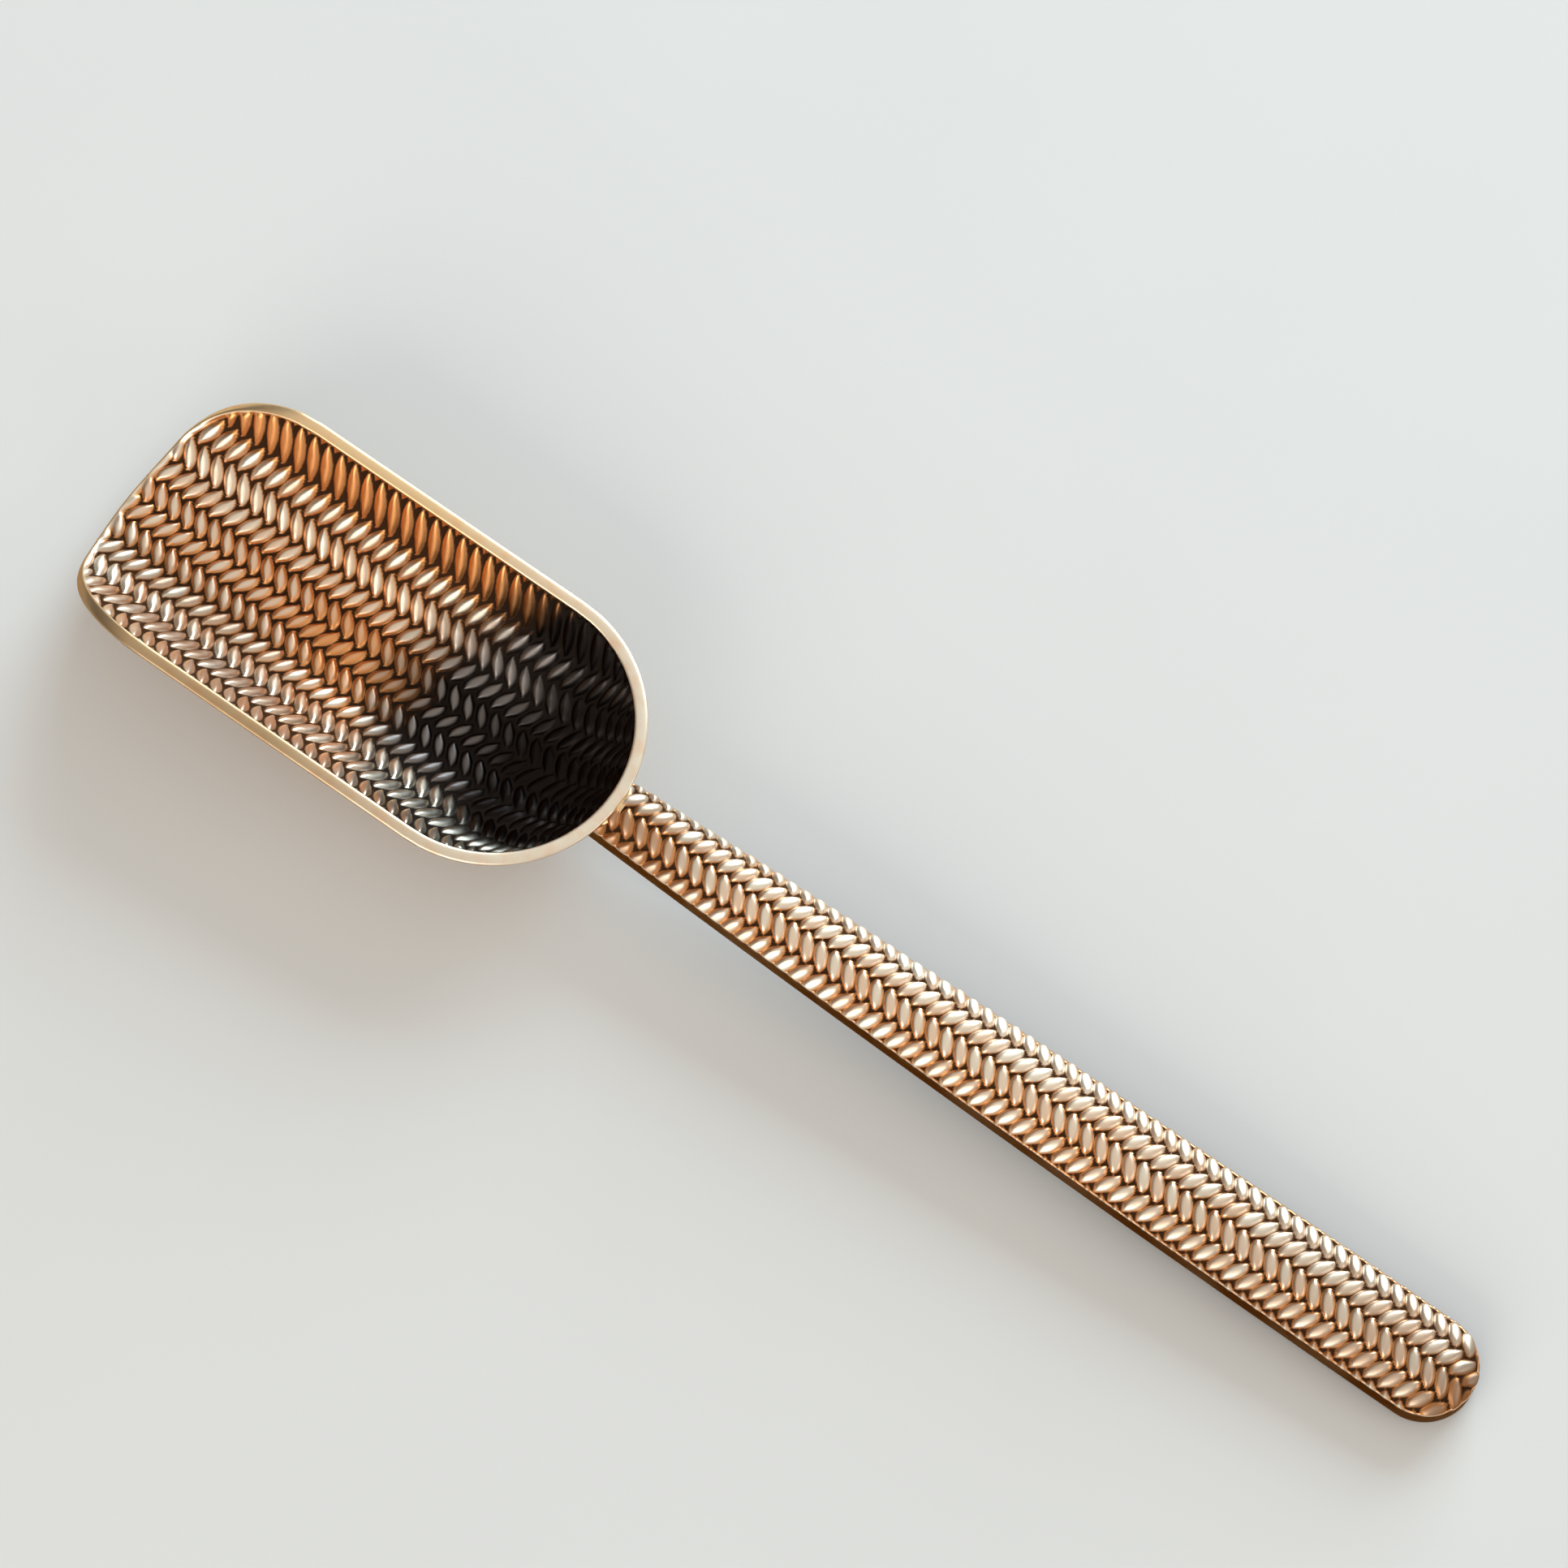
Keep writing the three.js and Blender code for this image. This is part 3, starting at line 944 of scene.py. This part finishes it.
def make_braze():
    thickness = 0.5 * MM
    length = 0.95 * MM
    sink = 0.03 * MM
    under = 0.15 * MM
    hollow = 1.1
    lumpiness = 0.18
    lump_seed = 5
    lump_weights = (0.1, 0.25, 0.3, 0.25, 0.1)
    bowl, handle = settings().bowl, settings().handle
    path = braze_path(handle, handle_half_width(handle, 0.0))
    lumps = np.random.default_rng(lump_seed).normal(0.0, 1.0, len(path))
    lumps = np.convolve(np.pad(lumps, 2, mode="wrap"), lump_weights, "valid")
    shell = Shell()
    rings = []
    for (y, z, out_y, out_z, size), lump in zip(path, lumps):
        size *= 1.0 + lumpiness * lump
        leg = thickness * size
        reach = length * size
        points = []
        for k in range(BEAD_STEPS + 1):
            turn = math.pi / 2 * k / BEAD_STEPS
            away = leg * (1.0 - math.sin(turn)) ** hollow
            along = reach * (1.0 - math.cos(turn)) ** hollow
            here_y, here_z = y + out_y * away, z + out_z * away
            wall = wall_position(bowl, here_y, here_z, sink)
            points.append((wall + along, here_y, here_z))
        inner_y, inner_z = y - out_y * under, z - out_z * under
        wall = wall_position(bowl, inner_y, inner_z, sink)
        points.append((wall + reach, inner_y, inner_z))
        points.append((wall - under, inner_y, inner_z))
        rings.append(shell.add(points, polish=(1.0 - min(size, 1.0)) * 2.0))
    for before, after in zip(rings, rings[1:] + rings[:1]):
        corners = np.stack((before, np.roll(before, -1), np.roll(after, -1), after), -1)
        shell.faces += [tuple(face) for face in corners.tolist()]
    mesh = shell.mesh("braze_bead")
    mesh.materials.append(braze_material())
    finish_piece("braze_bead", mesh, "braze_fillet")


# Finishes


def object_noise(graph, scale, detail, stretch=None):
    """Noise in the piece's own coordinates, about 0.5 on average."""
    place = graph.node("ShaderNodeTexCoord").outputs["Object"]
    if stretch:
        place = graph.node("ShaderNodeMapping", None, {"Vector": place, "Scale": stretch}).outputs[0]
    return graph.value(
        "ShaderNodeTexNoise", 0, None, {"Vector": place, "Scale": scale, "Detail": detail}
    )


def new_material(name):
    material = bpy.data.materials.new(name)
    material.use_nodes = True
    graph = Graph(material.node_tree)
    shader = next(n for n in material.node_tree.nodes if n.type == "BSDF_PRINCIPLED")
    return material, graph, shader


def add_bump(graph, shader, height, strength, distance):
    inputs = {"Strength": strength, "Distance": distance, "Height": height}
    graph.feed(shader.inputs["Normal"], graph.node("ShaderNodeBump", None, inputs).outputs[0])


def copper_material(name):
    """Copper-coloured metal: bright grain tops of wear and painted highlight, dark film in the gaps, a
    polished rim, brown sides of film and painted shade, and a dark back of patina and painted shadow.
    """
    gap_fade, worn_fade, deep_fade = (0.1, 0.46), (0.44, 0.92), (1.0, 2.0)
    colours = settings().finish
    material, graph, shader = new_material(name)

    def attribute(key):
        return graph.value("ShaderNodeAttribute", "Fac", {"attribute_name": key})

    relief, chance, polish, film, patina_and_shade, wear = (
        attribute(key) for key in ("relief", "chance", "polish", "film", "patina_and_shade", "wear")
    )
    cloud = object_noise(graph, 160.0, 4.0)
    mottle = object_noise(graph, 620.0, 4.0)
    speck = object_noise(graph, 2600.0, 3.0)
    lines = object_noise(graph, 900.0, 4.0, (0.12, 1.0, 1.0))

    open_metal = (relief + (speck - 0.5) * 0.16).step(*gap_fade)
    # Pale tops of the grains: wear and painted highlight, more or less of it row by row as painted light
    worn = (relief + wear + (cloud - 0.5) * 0.5).step(*worn_fade)
    base = graph.mix(worn * (0.6 + chance * 0.4), colours.copper, colours.pale)

    # Dark back: patina and a painted shadow of the back wall, with lighter grain tops that are wear and
    # painted glints
    dark = (patina_and_shade + (cloud - 0.5) * 1.1 * patina_and_shade.step(-1.0, -0.2)).step(0.0, 1.0)
    deep = (patina_and_shade + (cloud - 0.5)).step(*deep_fade)
    # Grain tops in the dark back go grey, and paler on the rows with more wear: painted glints
    rubbed_and_glint = graph.mix((wear - 0.25).most(0.0) * 5.0, colours.rubbed_and_glint, colours.pale)
    base = graph.mix(dark, base, graph.mix(worn * (0.9 - deep * 0.9), colours.patina_and_shade, rubbed_and_glint))

    # Polished rim, then brown film with painted shade, then the gaps between the grains
    # The rim goes paler towards the back: painted highlight
    edge = graph.mix(wear, colours.rim, colours.pale)
    edge = graph.mix(mottle.step(0.4, 0.75) * 0.35, edge, colours.copper)
    base = graph.mix(polish * 0.92, base, edge)
    base = graph.mix((film * (0.8 + cloud * 0.35)).least(1.0), base, colours.film)
    # Gaps in the dark back take its patina and painted shadow colour
    gap = graph.mix(dark, colours.patina, colours.patina_and_shade)
    base = graph.mix(open_metal, gap, base)
    graph.feed(shader.inputs["Base Color"], base)

    rough = colours.roughness + (cloud - 0.5) * 0.16 + (lines - 0.5) * 0.14 + (mottle - 0.5) * 0.12
    rough = rough + (1.0 - open_metal) * 0.32 + film * 0.1
    graph.feed(shader.inputs["Roughness"], rough.most(0.12).least(0.9))
    graph.feed(shader.inputs["Metallic"], 0.7 + open_metal * 0.3)
    shader.inputs["Specular Tint"].default_value = (*colours.grazing, 1.0)
    add_bump(graph, shader, lines * 0.6 + speck * 0.4, strength=0.22, distance=0.03 * MM)
    return material


def braze_material():
    """Brazing metal: a little yellower than the copper, with dull scale."""
    colours = settings().finish
    material, graph, shader = new_material("braze_metal")
    scale = object_noise(graph, 1400.0, 4.0)
    cloud = object_noise(graph, 500.0, 2.0)
    polish = graph.value("ShaderNodeAttribute", "Fac", {"attribute_name": "polish"})
    base = graph.mix(scale.step(0.35, 0.62), colours.film, colours.braze)
    base = graph.mix((1.0 - cloud.step(0.3, 0.5)) * 0.7, base, colours.patina)
    base = graph.mix(polish.least(1.0) * (0.7 + scale * 0.3), base, colours.rim)
    graph.feed(shader.inputs["Base Color"], base)
    graph.feed(shader.inputs["Roughness"], 0.34 + (1.0 - scale) * 0.25)
    shader.inputs["Metallic"].default_value = 1.0
    add_bump(graph, shader, scale, strength=0.5, distance=0.06 * MM)
    return material


# The stage


def make_floor():
    stage = settings().stage
    reach = 3.0
    mottle_depth = 0.04
    mesh = bpy.data.meshes.new("floor")
    corners = [(-reach, -reach, 0.0), (reach, -reach, 0.0), (reach, reach, 0.0), (-reach, reach, 0.0)]
    mesh.from_pydata(corners, [], [(0, 1, 2, 3)])
    floor = new_object("floor", mesh)
    material, graph, shader = new_material("pale_floor")
    mottle = object_noise(graph, 30.0, 5.0)
    darker = tuple(channel * (1.0 - mottle_depth) for channel in stage.floor)
    graph.feed(shader.inputs["Base Color"], graph.mix(mottle, stage.floor, darker))
    shader.inputs["Roughness"].default_value = 0.75
    shader.inputs["Specular IOR Level"].default_value = 0.25
    mesh.materials.append(material)


def make_world():
    """Surroundings that are dim beyond the bowl, bright beyond the handle and bright overhead."""
    bright_side = (0.99, 0.1, 0.0)
    side_fade = (-0.8, 0.0)
    overhead = (0.35, 0.9)
    warm_white = (1.0, 0.95, 0.88, 1.0)
    stage = settings().stage
    world = bpy.data.worlds.new("room")
    bpy.context.scene.world = world
    world.use_nodes = True
    graph = Graph(world.node_tree)
    background = world.node_tree.nodes["Background"]
    direction = graph.node("ShaderNodeTexCoord").outputs["Generated"]
    side = graph.value(
        "ShaderNodeVectorMath", "Value", {"operation": "DOT_PRODUCT"}, {0: direction, 1: bright_side}
    )
    level = stage.dim + side.step(*side_fade) * (stage.bright - stage.dim)
    height = graph.value("ShaderNodeSeparateXYZ", "Z", None, {"Vector": direction})
    level = level + height.step(*overhead) * (stage.zenith - level)
    graph.feed(background.inputs["Strength"], level)
    background.inputs["Color"].default_value = warm_white


def make_lamps():
    stage = settings().stage
    lamps = (
        ("window", (-0.1, 0.93, 0.35), 1.0, (0.8, 0.6), stage.window_power, (0.7, 0.88, 1.0)),
        ("fill", (0.0, -0.88, 0.44), 1.1, (1.1, 0.6), stage.fill_power, (1.0, 0.97, 0.92)),
        ("side_box", (0.92, 0.18, 0.34), 1.0, (0.7, 0.12), stage.side_power, (1.0, 0.94, 0.86)),
    )
    for name, direction, distance, size, power, colour in lamps:
        lamp = bpy.data.lights.new(name, "AREA")
        lamp.shape = "RECTANGLE"
        lamp.size, lamp.size_y = size
        lamp.energy = power
        lamp.color = colour
        holder = new_object(name, lamp)
        towards = Vector(direction).normalized()
        holder.location = towards * distance
        holder.rotation_euler = towards.to_track_quat("Z", "Y").to_euler()


def make_camera():
    before_tip = 84.2 * MM
    beside_middle = 13.08 * MM
    stage = settings().stage
    aim = Vector((HANDLE_HIGH.x - before_tip, beside_middle, 0.0))
    turn, rise = stage.azimuth, stage.elevation
    flat = math.cos(rise)
    back = Vector((flat * math.sin(turn), -flat * math.cos(turn), math.sin(rise)))
    camera = bpy.data.cameras.new("camera")
    camera.lens = stage.lens
    camera.sensor_width = 36.0
    camera.clip_start = 0.01
    camera.clip_end = 20.0
    holder = new_object("camera", camera)
    holder.location = aim + back * stage.distance
    holder.rotation_euler = back.to_track_quat("Z", "Y").to_euler()
    bpy.context.scene.camera = holder


def make_stage():
    make_floor()
    make_world()
    make_lamps()
    make_camera()
    bpy.context.scene.view_settings.view_transform = "Standard"


# Operators and panel


class TEASPOON_OT_bowl(bpy.types.Operator):
    """Make the pressed scoop bowl with its relief and polished rim"""

    bl_idname = "teaspoon.bowl"
    bl_label = "Scoop bowl"

    def execute(self, context):
        make_bowl()
        return {"FINISHED"}


class TEASPOON_OT_handle(bpy.types.Operator):
    """Make the tapered handle with its relief and plain sides"""

    bl_idname = "teaspoon.handle"
    bl_label = "Handle"

    def execute(self, context):
        make_handle()
        return {"FINISHED"}


class TEASPOON_OT_braze(bpy.types.Operator):
    """Make the braze round the root of the handle"""

    bl_idname = "teaspoon.braze"
    bl_label = "Braze"

    def execute(self, context):
        make_braze()
        return {"FINISHED"}


class TEASPOON_OT_stage(bpy.types.Operator):
    """Make the floor, the lamps, the surroundings and the camera"""

    bl_idname = "teaspoon.stage"
    bl_label = "Stage"

    def execute(self, context):
        make_stage()
        return {"FINISHED"}


class TEASPOON_PT_panel(bpy.types.Panel):
    """Settings of the teaspoon and the operators that make its pieces"""

    bl_idname = "TEASPOON_PT_panel"
    bl_label = "Teaspoon"
    bl_space_type = "VIEW_3D"
    bl_region_type = "UI"
    bl_category = "Teaspoon"

    def draw(self, context):
        layout = self.layout
        for operator in OPERATORS:
            layout.operator(operator.bl_idname)
        for group in ("bowl", "handle", "relief", "finish", "stage"):
            values = getattr(context.scene.teaspoon, group)
            box = layout.box()
            box.label(text=group.capitalize())
            for name in values.__annotations__:
                box.prop(values, name)


OPERATORS = (TEASPOON_OT_bowl, TEASPOON_OT_handle, TEASPOON_OT_braze, TEASPOON_OT_stage)
CLASSES = (
    BowlSizes,
    HandleSizes,
    ReliefSizes,
    FinishColours,
    StageSettings,
    TeaspoonSettings,
    *OPERATORS,
    TEASPOON_PT_panel,
)


def register():
    for made in CLASSES:
        bpy.utils.register_class(made)
    bpy.types.Scene.teaspoon = PointerProperty(type=TeaspoonSettings)


def unregister():
    del bpy.types.Scene.teaspoon
    for made in reversed(CLASSES):
        bpy.utils.unregister_class(made)


def main():
    register()
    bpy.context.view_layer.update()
    bpy.ops.teaspoon.bowl()
    bpy.ops.teaspoon.handle()
    bpy.ops.teaspoon.braze()
    bpy.ops.teaspoon.stage()


if __name__ == "__main__":
    main()
